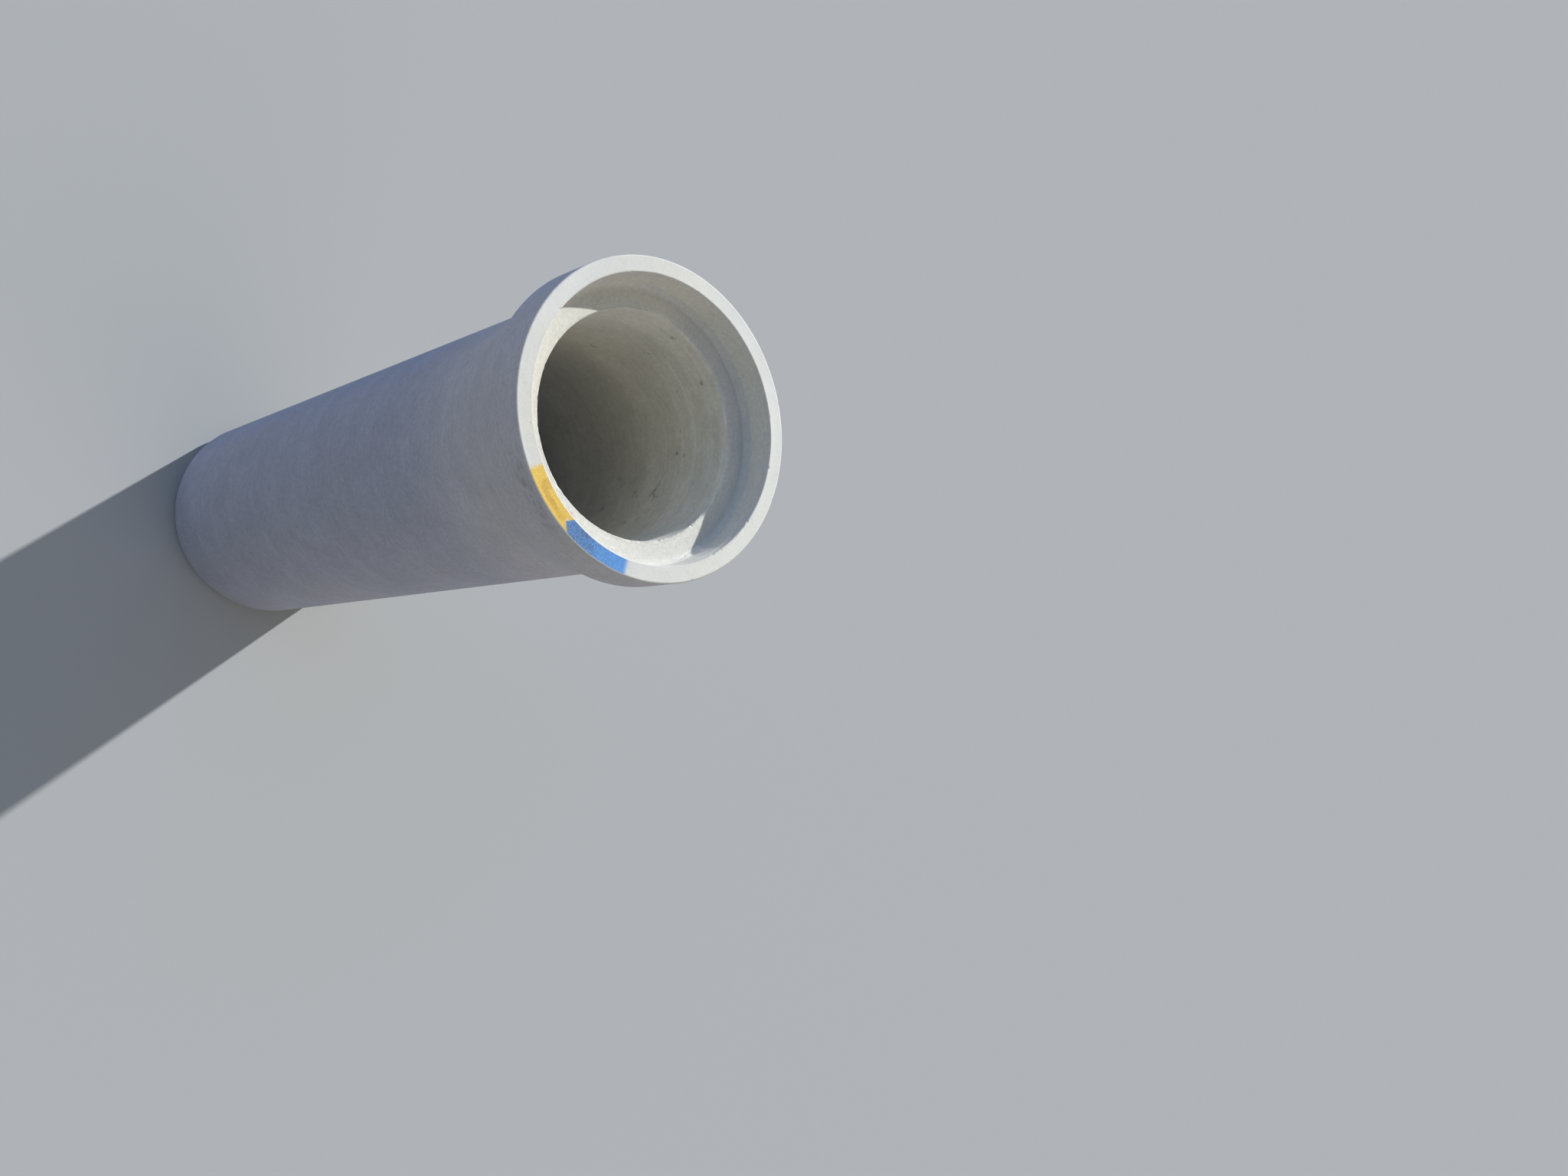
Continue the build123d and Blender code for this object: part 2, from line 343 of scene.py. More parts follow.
# --------------------------------------------------------------------------
# material
# --------------------------------------------------------------------------
class Nodes:
    """Short names for the shader nodes used below."""

    def __init__(self, tree):
        self.nt = tree
        self.nt.nodes.clear()

    def new(self, kind, **props):
        n = self.nt.nodes.new(kind)
        for k, v in props.items():
            setattr(n, k, v)
        return n

    def put(self, socket, value):
        if isinstance(value, bpy.types.NodeSocket):
            self.nt.links.new(value, socket)
        elif isinstance(value, (tuple, list)) and len(value) == 3 and socket.type == "RGBA":
            socket.default_value = (*value, 1.0)
        else:
            socket.default_value = value

    def m(self, op, a, b=None, c=None, clamp=False):
        n = self.new("ShaderNodeMath", operation=op, use_clamp=clamp)
        for i, v in enumerate((a, b, c)):
            if v is not None:
                self.put(n.inputs[i], v)
        return n.outputs[0]

    def add(self, *xs):
        out = xs[0]
        for x in xs[1:]:
            out = self.m("ADD", out, x)
        return out

    def mul(self, *xs):
        out = xs[0]
        for x in xs[1:]:
            out = self.m("MULTIPLY", out, x)
        return out

    def sub(self, a, b):
        return self.m("SUBTRACT", a, b)

    def inv(self, x):
        return self.m("SUBTRACT", 1.0, x)

    def vec(self, x, y, z):
        n = self.new("ShaderNodeCombineXYZ")
        for i, v in enumerate((x, y, z)):
            self.put(n.inputs[i], v)
        return n.outputs[0]

    def v3(self, op, a, b):
        n = self.new("ShaderNodeVectorMath", operation=op)
        self.put(n.inputs[0], a)
        self.put(n.inputs[1], b)
        return n.outputs["Value"] if op in ("DOT_PRODUCT", "DISTANCE") else n.outputs["Vector"]

    def ramp(self, x, lo, hi, a=0.0, b=1.0):
        """a below lo, b above hi, smooth in between (lo may be above hi)."""
        n = self.new("ShaderNodeMapRange", interpolation_type="SMOOTHSTEP", clamp=True)
        if lo > hi:
            lo, hi, a, b = hi, lo, b, a
        for name, v in (("Value", x), ("From Min", lo), ("From Max", hi), ("To Min", a), ("To Max", b)):
            self.put(n.inputs[name], v)
        return n.outputs[0]

    def line(self, x, lo, hi, a=0.0, b=1.0):
        """As ramp, with straight sides."""
        n = self.new("ShaderNodeMapRange", interpolation_type="LINEAR", clamp=True)
        for name, v in (("Value", x), ("From Min", lo), ("From Max", hi), ("To Min", a), ("To Max", b)):
            self.put(n.inputs[name], v)
        return n.outputs[0]

    def band(self, x, lo, hi, soft, soft2=None):
        """1 between lo and hi, fading over soft outside (soft2 at the high end)."""
        return self.mul(self.ramp(x, lo - soft, lo), self.ramp(x, hi + (soft2 or soft), hi))

    def noise(self, v, scale=1.0, detail=3.0, rough=0.5, dist=0.0):
        n = self.new("ShaderNodeTexNoise", noise_dimensions="3D")
        self.put(n.inputs["Vector"], v)
        for name, x in (("Scale", scale), ("Detail", detail), ("Roughness", rough), ("Distortion", dist)):
            self.put(n.inputs[name], x)
        return n.outputs["Fac"]

    def pores(self, v, scale, size, share, seed):
        """Small round holes, one at most in each cell: 1 in a hole, 0 outside. size is in cells."""
        n = self.new("ShaderNodeTexVoronoi", voronoi_dimensions="3D", feature="F1")
        self.put(n.inputs["Vector"], self.v3("ADD", v, (seed * 1.37, seed * 0.71, seed * 2.11)))
        self.put(n.inputs["Scale"], scale)
        pick = self.new("ShaderNodeSeparateColor")
        self.put(pick.inputs[0], n.outputs["Color"])
        keep = self.m("GREATER_THAN", pick.outputs[0], 1.0 - share)
        reach = self.m("MULTIPLY_ADD", pick.outputs[1], 0.7 * size, 0.3 * size)
        near = self.sub(1.0, self.m("DIVIDE", n.outputs["Distance"], reach))
        return self.mul(self.m("MULTIPLY", near, 2.2, clamp=True), keep)

    def spot(self, v, at, half, soft=0.6):
        """1 inside the ellipse about `at` with half axes `half`, fading over its outer share `soft`."""
        d = self.v3("MULTIPLY", self.v3("SUBTRACT", v, (at[0], at[1], 0.0)), (1.0 / half[0], 1.0 / half[1], 0.0))
        n = self.new("ShaderNodeVectorMath", operation="LENGTH")
        self.put(n.inputs[0], d)
        return self.ramp(n.outputs["Value"], 1.0, 1.0 - soft)

    def stroke(self, v, a, b, half, soft=0.7):
        """1 along the straight stroke a to b, `half` wide to each side, fading over its outer share `soft`."""
        dx, dy = b[0] - a[0], b[1] - a[1]
        rel = self.v3("SUBTRACT", v, (a[0], a[1], 0.0))
        way = self.m("MULTIPLY", self.v3("DOT_PRODUCT", rel, (dx, dy, 0.0)), 1.0 / (dx * dx + dy * dy), clamp=True)
        n = self.new("ShaderNodeVectorMath", operation="LENGTH")
        self.put(n.inputs[0], self.v3("SUBTRACT", rel, self.scale((dx, dy, 0.0), way)))
        return self.ramp(n.outputs["Value"], half, half * (1.0 - soft))

    def spots(self, v, marks, soft=0.6):
        """What all the marks leave of 1; a mark is (at, at, half, half, depth)."""
        left = None
        for a, b, ha, hb, depth in marks:
            one = self.m("MULTIPLY_ADD", self.spot(v, (a, b), (ha, hb), soft), -depth, 1.0)
            left = one if left is None else self.mul(left, one)
        return left

    def mix(self, f, a, b):
        n = self.new("ShaderNodeMix", data_type="RGBA", blend_type="MIX", clamp_factor=True)
        self.put(n.inputs[0], f)
        self.put(n.inputs[6], a)
        self.put(n.inputs[7], b)
        return n.outputs[2]

    def scale(self, colour, k):
        n = self.new("ShaderNodeVectorMath", operation="SCALE")
        self.put(n.inputs[0], colour)
        self.put(n.inputs["Scale"], k)
        return n.outputs[0]

    def about(self, x, amount):
        """Noise value 0..1 turned into a factor about 1."""
        return self.m("MULTIPLY_ADD", self.sub(x, 0.5), 2.0 * amount, 1.0)

    def where(self, mask, k):
        """k where the mask is 1, 1 where it is 0."""
        return self.m("MULTIPLY_ADD", mask, self.sub(k, 1.0) if isinstance(k, bpy.types.NodeSocket) else k - 1.0, 1.0)


def material(name):
    mat = bpy.data.materials.new(name)
    mat.use_nodes = True
    return mat, Nodes(mat.node_tree)


concrete, g = material("concrete")
obj = g.new("ShaderNodeTexCoord").outputs["Object"]
sep = g.new("ShaderNodeSeparateXYZ")
g.put(sep.inputs[0], obj)
X, Y, Z = sep.outputs
u = g.add(g.mul(X, float(F2[0])), g.mul(Y, float(F2[1])))
v = g.add(g.mul(X, float(F3[0])), g.mul(Y, float(F3[1])))
T = g.mul(g.m("ARCTAN2", v, u), 180.0 / math.pi)             # clock angle, degrees, -180..180
RR = g.mul(g.m("SQRT", g.add(g.mul(X, X), g.mul(Y, Y))), 1000.0)     # radius, mm
SS = g.m("MULTIPLY_ADD", Z, -1000.0, LENGTH)                 # below the mouth, mm

# noises: cloudy, speckled, and drawn out along the hoop direction
cloud = g.noise(obj, 2.0, 3, 0.5)
patch = g.noise(obj, 9.0, 4, 0.55)
blot = g.noise(obj, 34.0, 3, 0.55)
speck = g.noise(obj, 150.0, 3, 0.65)
sand = g.noise(obj, 420.0, 2, 0.6)
wob = g.sub(g.noise(obj, 160.0, 3, 0.6), 0.5)
wob2 = g.sub(g.noise(g.v3("ADD", obj, (3.1, 1.7, 0.4)), 55.0, 2, 0.5), 0.5)
hoop_fine = g.noise(g.vec(g.mul(X, 30.0), g.mul(Y, 30.0), g.mul(Z, 170.0)), 1.0, 3, 0.62)
mottle = g.noise(g.v3("ADD", obj, (1.9, 4.4, 0.7)), 215.0, 3, 0.62)
grain = g.noise(g.v3("ADD", obj, (5.2, 0.9, 3.3)), 88.0, 4, 0.65)
hoop_mid = g.noise(g.vec(g.mul(X, 4.0), g.mul(Y, 4.0), g.mul(Z, 56.0)), 1.0, 3, 0.55)
hoop_wide = g.noise(g.vec(g.mul(X, 1.3), g.mul(Y, 1.3), g.mul(Z, 14.0)), 1.0, 3, 0.5)
ring = g.noise(g.vec(g.mul(X, 6.0), g.mul(Y, 6.0), g.mul(RR, 0.42)), 1.0, 3, 0.6)

# where each surface is
inner = g.mul(g.ramp(RR, 380, 374), g.ramp(SS, 0.3, 3.0))    # inside the mouth's arris
bore = g.mul(g.ramp(RR, 304.0, 301.0), g.ramp(SS, 93.5, 98.0))
face = g.mul(g.ramp(SS, 2.6, 0.9), g.ramp(RR, 371, 373.5))
outer = g.mul(g.inv(face), g.m("MAXIMUM", g.ramp(RR, 390, 392), g.mul(g.ramp(SS, 150, 152), g.ramp(RR, 345, 350))))
shoulder = g.mul(g.ramp(SS, 88, 91), g.ramp(SS, 99, 96), g.ramp(RR, 356, 350))

C_FACE = (0.524, 0.520, 0.494)
C_SOCKET = (0.540, 0.527, 0.488)
C_BORE = (0.557, 0.546, 0.499)
C_BARREL_SKY_BLUE = (0.326, 0.328, 0.386)
C_BELL = (0.431, 0.412, 0.426)
C_FAR_PAINTED_SHADE = (0.262, 0.260, 0.256)

around = g.m("MODULO", g.add(T, 360.0), 360.0)               # clock angle, 0..360
# painted shade: the side away from the marks, which faces the key light, is made darker and greyer
far = g.band(g.add(around, g.mul(g.sub(cloud, 0.5), 40.0)), 99.0, 250.0, 33.0, 36.0)      # the side away from the marks, greyer
# painted light: the barrel's colour is tinted blue for the sky's light on its shaded side; the outside turns lighter
# towards the bell
outside = g.mix(g.ramp(SS, 800, 260), C_BARREL_SKY_BLUE, C_BELL)
# painted shade: a band of the upper flank, clock 70 to 84, darker and bluer
outside = g.mix(g.band(around, 70.0, 84.0, 24.0, 14.0), outside, g.v3("MULTIPLY", outside, (0.85, 0.92, 1.01)))
# painted shade: the far side takes a darker, greyer colour
outside = g.mix(far, outside, g.scale(C_FAR_PAINTED_SHADE, g.ramp(SS, 800, 260, 1.0, 1.08)))
base = g.mix(outer, g.mix(bore, C_SOCKET, C_BORE), outside)
# painted light and shade along the bore: lighter, then darker, then lighter again with depth, and bluer further in
base = g.scale(base, g.where(bore, g.mul(g.ramp(SS, 240, 380, 1.0, 1.07), g.ramp(SS, 430, 620, 1.0, 0.90), g.ramp(SS, 680, 1100, 1.0, 1.24))))
base = g.v3("MULTIPLY", base, g.mix(g.mul(bore, g.ramp(SS, 480, 900)), (1.0, 1.0, 1.0), (1.03, 1.03, 1.13)))
base = g.mix(face, base, C_FACE)

# barrel and bell outside: hoop streaks and a sandy speckle, with smoother and rougher patches
streak = g.mul(g.about(hoop_fine, 0.17), g.about(hoop_mid, 0.055), g.about(hoop_wide, 0.07), g.about(mottle, 0.11))
streaky = g.mul(outer, g.ramp(patch, 0.25, 0.75, 0.45, 1.25), g.where(far, 1.5))
tone = g.where(streaky, streak)
tone = g.mul(tone, g.where(outer, g.about(patch, 0.13)),
             g.where(g.mul(outer, far), g.mul(g.about(patch, -0.05), g.about(cloud, 0.05), g.about(hoop_wide, 0.11), g.about(hoop_mid, 0.07), g.about(blot, 0.05))))
# bore: smoother, with trowel rings near the socket and faint long bands further in
near_socket = g.mul(bore, g.ramp(SS, 420, 150))
tone = g.mul(tone, g.where(near_socket, g.mul(g.about(hoop_mid, 0.13), g.about(hoop_fine, 0.03))))
tone = g.mul(tone, g.where(bore, g.mul(g.about(hoop_wide, 0.11), g.about(hoop_mid, 0.06), g.about(patch, 0.13), g.about(blot, 0.07))))
# socket's walls and shoulder
tone = g.mul(tone, g.where(g.inv(outer), g.mul(g.about(cloud, 0.10), g.about(blot, 0.06))))
tone = g.mul(tone, g.where(shoulder, g.about(ring, 0.10)))
tone = g.mul(tone, g.about(speck, 0.10), g.about(sand, 0.08), g.about(cloud, 0.08))
tone = g.mul(tone, g.where(g.inv(face), g.about(grain, 0.20)), g.where(outer, g.about(blot, 0.06)))

TS = g.vec(g.add(T, g.mul(wob, 1.4), g.mul(wob2, 0.8)), g.add(SS, g.mul(wob, 9.0), g.mul(wob2, 7.0)), 0.0)
TR = g.vec(g.add(T, g.mul(wob, 0.5)), g.add(RR, g.mul(wob, 2.4)), 0.0)

# dark smudges in the bore: (clock, below the mouth, half width in degrees, half height in mm, depth)
BORE_MARKS = [(125.6, 429, 2.6, 12, 0.30), (127.4, 424, 1.4, 8, 0.20), (142.6, 276, 1.2, 8, 0.34), (141.6, 287, 0.8, 6, 0.26),
              (137.7, 139, 1.6, 11, 0.34), (138.9, 131, 0.8, 6, 0.25), (167.2, 153, 1.8, 10, 0.42), (-159.5, 318.5, 2.0, 9, 0.46),
              (-157.9, 285.5, 1.5, 6, 0.36), (-171.3, 296.5, 1.1, 5, 0.30), (-134.5, 639, 2.1, 17, 0.34), (-132.9, 648, 1.4, 10, 0.24),
              (-141.4, 495, 2.0, 11, 0.34), (-138.6, 479, 1.8, 7, 0.27), (-139.0, 503, 1.4, 7, 0.22), (-121.1, 410, 2.8, 17, 0.15),
              (-119.8, 473, 2.8, 20, 0.18), (-132.4, 449, 4.2, 18, 0.09), (-126.0, 436, 3.4, 18, 0.10), (172.0, 470, 1.6, 10, 0.12),
               (167.9, 266, 1.3, 12, 0.16), (-133.3, 480, 3.0, 16, 0.10), (-126.4, 389, 3.2, 16, 0.10), (-151.6, 590, 2.0, 16, 0.12),
              (60.0, 700, 1.6, 14, 0.22), (20.0, 520, 1.0, 9, 0.30), (-30.0, 1150, 1.4, 16, 0.24), (95.0, 1500, 1.8, 20, 0.22)]
tone = g.mul(tone, g.where(bore, g.spots(TS, [(a, b, ha, hb, 1.2 * depth) for a, b, ha, hb, depth in BORE_MARKS], 0.9)))
# a forked scrape in the bore: ends (clock, below the mouth), half width in mm, depth
SCRAPE = [((-150.6, 364.6), (-145.2, 383.5), 3.2, 0.20), ((-145.6, 382.0), (-140.3, 397.4), 4.2, 0.30), ((-140.4, 397.0), (-138.6, 405.0), 9.0, 0.34),
          ((-138.8, 403.0), (-137.0, 415.0), 6.5, 0.26), ((-138.4, 400.0), (-135.8, 386.0), 6.5, 0.30), ((-136.0, 388.0), (-135.4, 368.0), 5.0, 0.20),
          ((-135.6, 391.0), (-133.4, 391.0), 5.0, 0.16)]
FLAT = g.vec(g.add(g.mul(T, 5.236), g.mul(wob, 5.0), g.mul(wob2, 3.0)), g.add(SS, g.mul(wob, 7.0), g.mul(wob2, 4.0)), 0.0)
scraped = None
for (t0, s0), (t1, s1), half, depth in SCRAPE:
    one = g.mul(g.stroke(FLAT, (t0 * 5.236, s0), (t1 * 5.236, s1), half * 1.2, 0.9), depth * 1.2)
    scraped = one if scraped is None else g.m("MAXIMUM", scraped, one)
tone = g.mul(tone, g.inv(g.mul(scraped, bore)))
# smudges on the outside
OUT_MARKS = [(45.4, 392, 2.6, 10, 0.16), (44.0, 404, 1.4, 7, 0.12), (46.6, 366, 1.8, 7, 0.10), (-3.6, 42, 1.6, 10, 0.14), (-9.0, 44, 2.6, 11, 0.20),
             (-13.6, 39, 0.8, 4, 0.32), (-16.6, 40, 2.2, 9, 0.18), (-21.5, 40, 2.0, 8, 0.10), (-5.9, 2350, 0.5, 5, 0.30), (150.0, 820, 0.9, 9, 0.20),
             (200.0 - 360, 1630, 1.2, 12, 0.16), (-95.0, 620, 1.0, 10, 0.20), (110.0, 1980, 0.8, 8, 0.18), (-60.0, 1480, 0.6, 7, 0.20),
             (172.0, 1190, 9.0, 34, 0.10), (128.0, 640, 6.0, 40, 0.08), (-148.0, 2060, 8.0, 46, 0.10), (156.0, 2430, 13.0, 26, 0.13),
             (-170.0, 2395, 6.0, 34, 0.10), (118.0, 1540, 5.0, 24, 0.09), (-128.0, 1120, 7.0, 30, 0.08), (143.0, 55, 5.0, 16, 0.09)]
tone = g.mul(tone, g.where(outer, g.spots(TS, OUT_MARKS, 0.8)))
# dark specks, lines and pits on the end face
FACE_MARKS = [(10.0, 379.4, 0.26, 3.4, 0.55), (10.7, 374.6, 0.32, 3.0, 0.50), (6.1, 391, 0.35, 8, 0.07), (-74.2, 407.8, 0.24, 3.6, 0.26),
              (-85.6, 409.3, 0.34, 2.2, 0.20), (-84.1, 391, 0.36, 9, 0.10), (-123.4, 386.7, 0.40, 3.4, 0.20), (-124.4, 379.9, 0.60, 2.8, 0.22),
              (-120.6, 381.6, 0.34, 3.4, 0.18), (-121.4, 391, 0.30, 5, 0.09), (-112.8, 381.5, 0.50, 2.6, 0.10), (-105.0, 410.5, 0.40, 2.4, 0.12),
              (-95.6, 410.5, 0.50, 2.0, 0.12), (-126.6, 398, 0.30, 3.6, 0.08), (73.4, 385, 0.40, 3.2, 0.16), (56.0, 375.6, 0.40, 3.0, 0.30),
              (156.0, 406, 0.40, 3.0, 0.20), (156.4, 396, 0.30, 3.4, 0.16), (-15.0, 376.2, 0.40, 2.2, 0.45), (-14.1, 412.6, 0.60, 1.8, 0.30),
              (-148.4, 375.6, 0.7, 3.0, 0.22), (128.0, 391, 0.3, 4.0, 0.10), (185.0 - 360, 384, 0.4, 3.4, 0.12)]
tone = g.mul(tone, g.where(face, g.spots(TR, FACE_MARKS, 0.8)))
# and on the socket's shoulder
SHOULDER_MARKS = [(-69.5, 344.6, 0.30, 3.4, 0.30), (-86.7, 310, 0.35, 7.5, 0.34), (-85.3, 305, 0.5, 3.0, 0.22), (-92.7, 331, 0.35, 5.5, 0.18),
                  (-101.2, 323, 0.5, 2.6, 0.24), (-102.2, 327, 0.5, 2.6, 0.22), (1.5, 310, 1.0, 1.9, 0.26), (-94.6, 303, 0.7, 3.0, 0.22),
                  (-83.5, 340, 0.30, 6.0, 0.08), (52.0, 337, 0.3, 2.4, 0.2), (171.0, 313.5, 0.8, 5.0, 0.15)]
tone = g.mul(tone, g.where(shoulder, g.spots(TR, SHOULDER_MARKS, 0.8)))
CORNER = g.add(RR, SS, -393.0)                               # mm outwards from the bore's arris and down it
# painted shadow: the bore's arris darkened on the side the key light reaches, where the lip's shade falls
near_arris = g.mul(g.ramp(RR, 312, 308), g.ramp(SS, 101, 98), g.ramp(SS, 90, 92), g.band(T, -114.0, 96.0, 10.0))
tone = g.mul(tone, g.m("MULTIPLY_ADD", g.mul(near_arris, g.ramp(CORNER, 3.6, 2.4)), -0.16, 1.0))
rubbed = g.mul(g.ramp(RR, 312, 308), g.ramp(SS, 105, 100), g.ramp(SS, 90, 92), g.inv(g.band(T, -114.0, 96.0, 14.0)), g.ramp(CORNER, 7.0, 4.0))
tone = g.mul(tone, g.m("MULTIPLY_ADD", rubbed, -0.07, 1.0))
# painted shadow: broken dark arcs along the arris and on the shoulder beside it, on the lit side
painted_shadow_arcs = g.mul(near_arris, g.band(CORNER, 3.4, 4.0, 0.8), g.add(0.50, g.mul(g.band(T, -92.0, -50.0, 8.0), 0.50)))
tone = g.mul(tone, g.m("MULTIPLY_ADD", g.mul(painted_shadow_arcs, g.ramp(g.add(g.mul(blot, 0.5), g.mul(speck, 0.5)), 0.42, 0.56)), -0.34, 1.0))
painted_shadow_low_arcs = g.mul(shoulder, g.band(T, -96.0, -62.0, 8.0), g.band(RR, 307.0, 307.8, 0.7), g.ramp(blot, 0.42, 0.58))
tone = g.mul(tone, g.m("MULTIPLY_ADD", painted_shadow_low_arcs, -0.16, 1.0))
# low in the socket's corner: painted light, the wall made lighter as if the key light reached it more fully, with a
# lighter dash at its broken end, and a painted shadow edge as a dark hairline along its root
WALL = g.vec(g.add(g.mul(T, 6.4), g.mul(wob, 5.0)), g.add(SS, g.mul(wob, 5.0), g.mul(wob2, 6.0)), 0.0)
socket_wall = g.mul(g.ramp(RR, 352, 358), g.ramp(SS, 3.0, 8.0), g.ramp(SS, 99, 96), g.inv(outer))
painted_light_seat = g.mul(socket_wall, g.band(g.add(T, g.mul(wob2, 2.4)), -104.0, -95.0, 0.7, 6.0))
tone = g.mul(tone, g.m("MULTIPLY_ADD", painted_light_seat, 0.16, 1.0))
tone = g.mul(tone, g.m("MULTIPLY_ADD", g.mul(socket_wall, g.stroke(WALL, (-104.3 * 6.4, 65.0), (-102.6 * 6.4, 78.0), 3.6)), 0.30, 1.0))
tone = g.mul(tone, g.m("MULTIPLY_ADD", g.mul(socket_wall, g.stroke(WALL, (-91.0 * 6.4, 83.0), (-98.8 * 6.4, 90.0), 1.8)), -0.24, 1.0))
# painted shade: the mouth's arris and lead-in a shade greyer, damping the light they catch
tone = g.mul(tone, g.where(g.mul(g.ramp(RR, 377.5, 375.0), g.ramp(RR, 366.5, 368.5), g.ramp(SS, 30, 10)), 0.93))

# air holes: a few on the end face and the barrel, fewer in the bore
holes_small = g.pores(obj, 62.0, 0.115, 0.10, 1.0)
holes_big = g.pores(obj, 17.0, 0.075, 0.09, 2.0)
holes = g.m("MAXIMUM", g.mul(holes_small, g.ramp(patch, 0.50, 0.62)), g.mul(holes_big, g.inv(bore)))
holes = g.mul(holes, g.m("MULTIPLY_ADD", face, -0.35, 1.0))
# painted shade: the holes are also darkened in the colour, for the shade inside them
tone = g.mul(tone, g.m("MULTIPLY_ADD", holes, -0.42, 1.0))

colour = g.scale(base, tone)
# painted shade: the shoulder and the corner at its root darker and colder on the far side
painted_shade_hollow = g.mul(g.ramp(RR, 340, 352), g.ramp(SS, 70, 80), g.ramp(SS, 99, 96), g.inv(outer))
colour = g.v3("MULTIPLY", colour, g.mix(g.mul(shoulder, g.band(around, 148.0, 198.0, 28.0)), (1.0, 1.0, 1.0), (0.845, 0.850, 0.900)))
colour = g.v3("MULTIPLY", colour, g.mix(g.mul(painted_shade_hollow, g.band(around, 120.0, 245.0, 20.0)), (1.0, 1.0, 1.0), (0.88, 0.90, 0.95)))
# slight drift between warm and cool grey
drift = g.noise(g.v3("ADD", obj, (7.3, 2.2, 5.1)), 3.4, 3, 0.55)
colour = g.v3("MULTIPLY", colour, g.mix(drift, (1.035, 1.0, 0.955), (0.965, 1.0, 1.045)))
# grey-brown stain behind the end face
stain = g.mul(outer, g.band(T, -24.0, 0.0, 8.0), g.band(SS, 24.0, 56.0, 16.0), g.ramp(blot, 0.38, 0.62))
colour = g.mix(g.mul(stain, 0.28), colour, (0.170, 0.168, 0.140))

# sprayed marks on the end face, by clock angle and radius
arcmm = g.mul(T, 6.9)
flow = g.noise(g.vec(g.mul(g.sub(arcmm, RR), 0.20), g.mul(g.add(arcmm, RR), 0.075), 0.0), 1.0, 3, 0.6)
crackle = g.ramp(g.m("ABSOLUTE", g.sub(flow, 0.5)), 0.030, 0.006)
paint_r = g.band(g.add(RR, g.mul(wob, 1.8)), 375.8, 411.6, 1.2, 0.8)
on_face = g.mul(paint_r, g.ramp(SS, 1.7, 0.9))
edge_r = g.add(g.m("MULTIPLY_ADD", g.m("MAXIMUM", g.sub(396.0, RR), 0.0), -0.075, -26.9),
               g.m("MULTIPLY", g.m("MAXIMUM", g.sub(RR, 396.0), 0.0), -0.163))
gap = g.add(g.sub(T, edge_r), g.mul(wob, 1.6), g.mul(wob2, 1.0))       # >0 on the yellow side
ragged_end = g.add(g.mul(g.sub(mottle, 0.5), 2.2), g.mul(wob2, 0.8))
yellow_mask = g.mul(g.ramp(g.add(T, ragged_end), -4.0, -6.0), g.ramp(gap, -1.2, -0.4), on_face)
blue_mask = g.mul(g.ramp(gap, 0.28, -0.10), g.ramp(g.add(T, ragged_end), -57.4, -54.6), on_face)
yellow = g.mix(g.ramp(mottle, 0.36, 0.64), (0.555, 0.352, 0.044), (0.618, 0.412, 0.080))
yellow = g.scale(yellow, g.mul(g.about(speck, 0.14), g.about(blot, 0.10)))
worn = g.m("MAXIMUM", g.mul(g.band(g.add(T, g.mul(wob, 1.4), g.mul(wob2, 2.4)), -24.5, -12.5, 3.0), g.band(g.add(RR, g.mul(wob2, 9.0)), 392.5, 401.0, 6.0)),
           g.mul(g.band(g.add(T, g.mul(wob2, 1.6)), -13.6, -11.0, 1.4), g.band(g.add(RR, g.mul(wob2, 7.0)), 381.0, 397.0, 5.5)))
worn = g.mul(worn, g.ramp(g.add(g.mul(blot, 0.5), g.mul(mottle, 0.5)), 0.38, 0.60, 0.35, 1.0))
yellow = g.mix(worn, yellow, (0.425, 0.252, 0.030))
tan = g.mul(g.band(gap, -0.2, 1.5, 0.5), g.ramp(blot, 0.40, 0.60))
yellow = g.mix(g.mul(tan, 0.6), yellow, (0.42, 0.31, 0.13))
pale = g.mul(g.spot(TR, (-26.7, 393.0), (0.85, 8.0), 0.7), g.ramp(mottle, 0.40, 0.58, 0.35, 1.0))
yellow = g.mix(pale, yellow, (0.50, 0.45, 0.34))
blue_old = g.mix(g.ramp(mottle, 0.39, 0.60), (0.030, 0.098, 0.232), (0.080, 0.194, 0.428))
old = g.ramp(g.add(T, g.mul(g.sub(patch, 0.5), 9.0), g.mul(wob2, 6.0)), -48.0, -35.0)
blue_new = g.mix(g.ramp(mottle, 0.39, 0.61), (0.046, 0.170, 0.420), (0.072, 0.230, 0.522))
blue = g.mix(old, blue_new, blue_old)
scored = g.m("MAXIMUM", g.mul(g.spot(TR, (-38.5, 398.0), (5.0, 12.0), 0.6), 0.75), g.mul(old, 0.30))
blue = g.scale(blue, g.inv(g.mul(crackle, scored)))
blue = g.scale(blue, g.mul(g.about(speck, 0.24), g.about(blot, 0.16)))
purple = g.m("MAXIMUM", g.spot(TR, (-36.2, 380.5), (2.6, 7.0), 0.8), g.mul(g.spot(TR, (-33.0, 411.5), (2.6, 4.5), 0.7), 0.6))
blue = g.mix(g.mul(purple, g.ramp(mottle, 0.30, 0.60, 0.5, 0.9)), blue, (0.062, 0.098, 0.215))
murk = g.mul(g.spot(TR, (-28.9, 402.5), (1.0, 7.0), 0.8), 0.85)
blue = g.mix(murk, blue, (0.115, 0.140, 0.125))
gouge = g.mul(g.m("MAXIMUM", g.spot(TR, (-37.0, 403.0), (0.5, 3.6), 0.6), g.spot(TR, (-39.6, 398.0), (0.35, 3.0), 0.6)), 0.6)
blue = g.mix(gouge, blue, (0.016, 0.055, 0.150))
thin = g.ramp(g.add(mottle, g.mul(sand, 0.25)), 0.42, 0.52, 0.86, 1.0)     # concrete grains show through
colour = g.mix(g.mul(yellow_mask, thin), colour, yellow)
colour = g.mix(g.mul(blue_mask, thin), colour, blue)
